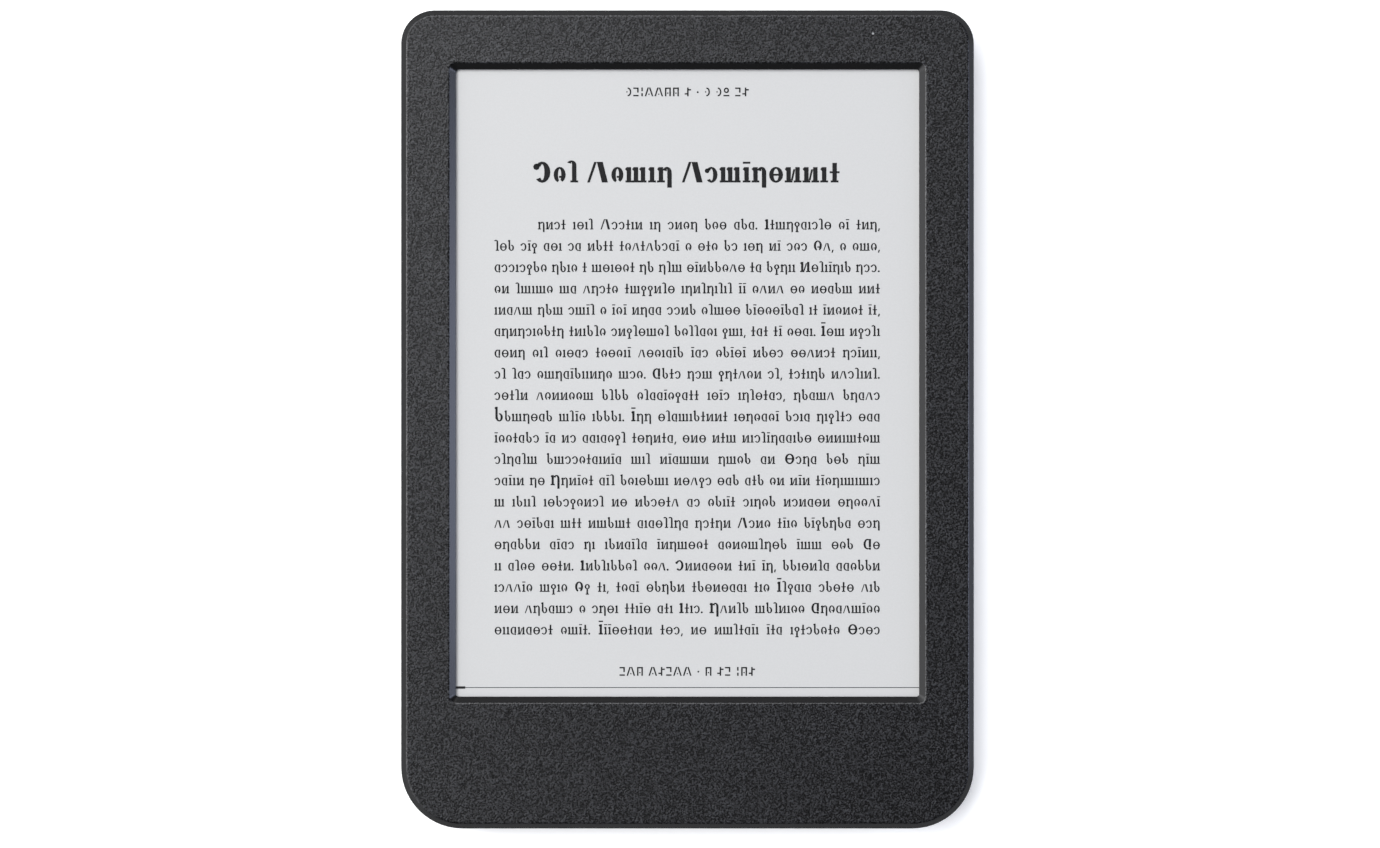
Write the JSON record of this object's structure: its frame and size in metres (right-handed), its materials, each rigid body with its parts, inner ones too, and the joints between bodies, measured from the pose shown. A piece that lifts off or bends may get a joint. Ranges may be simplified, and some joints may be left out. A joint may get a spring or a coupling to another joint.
{
  "type": "e-reader",
  "caption": "Slim tablet-shaped e-reader with a recessed paper-like screen in a raised dark frame, a spring-back power button and a data socket in its bottom edge.",
  "frame": {"origin": "on the plane the reader rests on when it lies on its back, under the middle of the body's outline", "axes": "+X to the reader's right, +Y to its top edge, +Z out of the screen"},
  "size_m": [0.112, 0.16, 0.0092],
  "materials": {
    "front_shell": "matte",
    "back_shell": "matte",
    "button": "satin",
    "light_pipe": "gloss",
    "screen_surface": "matte",
    "screen_glass": "gloss",
    "ink_laminate": "matte",
    "gasket_foam": "matte",
    "silicon_package": "matte",
    "led_package": "gloss",
    "adhesive_tape": "matte",
    "flex_circuit": "satin",
    "connector_plastic": "matte",
    "frame_plastic": "satin",
    "board": "satin",
    "tinned_steel": "satin",
    "ferrite": "matte",
    "ceramic_chip": "matte",
    "battery_foil": "satin",
    "lead_sleeve": "satin",
    "screw_steel": "satin",
    "socket_steel": "satin",
    "gold_contact": "satin"
  },
  "bodies": {
    "reader": {"arm_screws": "screw_steel", "back_cover": "back_shell", "backplane": "screen_glass", "battery_leads": "lead_sleeve", "battery_plug": "connector_plastic", "battery_pouch": "battery_foil", "battery_protection_board": "board", "battery_socket": "connector_plastic", "battery_tape": "adhesive_tape", "capacitors": "ceramic_chip", "chin_screws": "screw_steel", "chip_antenna": "ceramic_chip", "cover_sheet": "screen_surface", "crystal": "tinned_steel", "display_connector": "connector_plastic", "display_driver_chip": "silicon_package", "display_gasket": "gasket_foam", "display_ribbon": "flex_circuit", "frame_screws": "screw_steel", "front_bezel": "front_shell", "hall_sensor": "silicon_package", "inductors": "ferrite", "ink_layer": "ink_laminate", "light_connector": "connector_plastic", "light_guide": "screen_glass", "light_leds": "led_package", "light_ribbon": "flex_circuit", "main_board": "board", "memory_chip": "silicon_package", "midframe": "frame_plastic", "panel_tape": "adhesive_tape", "power_chips": "silicon_package", "processor": "silicon_package", "radio_module": "tinned_steel", "rear_foam_pad": "gasket_foam", "shield_can": "tinned_steel", "status_led": "led_package", "status_light_pipe": "light_pipe", "storage_chip": "silicon_package", "switch_frame": "socket_steel", "switch_housing": "connector_plastic", "switch_leaf": "socket_steel", "touch_connector": "connector_plastic", "touch_ribbon": "flex_circuit", "touch_sensor": "screen_glass", "usb_contacts": "gold_contact", "usb_shell": "socket_steel", "usb_tongue": "connector_plastic"},
    "button": {"power_button": "button"},
    "plunger": {"switch_plunger": "connector_plastic"}
  },
  "joints": [
    {"name": "power_button_press", "type": "slide", "parent": "reader", "child": "button", "axis": [0, 1, 0], "range_m": [0, 0.00025], "stiffness_N_per_m": 2000, "springref_m": -0.0002},
    {"name": "switch_plunger_press", "type": "slide", "parent": "reader", "child": "plunger", "axis": [0, 1, 0], "range_m": [0, 0.00025], "deforming": ["switch_leaf"]}
  ],
  "couplings": [
    {"joint": "switch_plunger_press", "follows": "power_button_press", "ratio": 1}
  ]
}
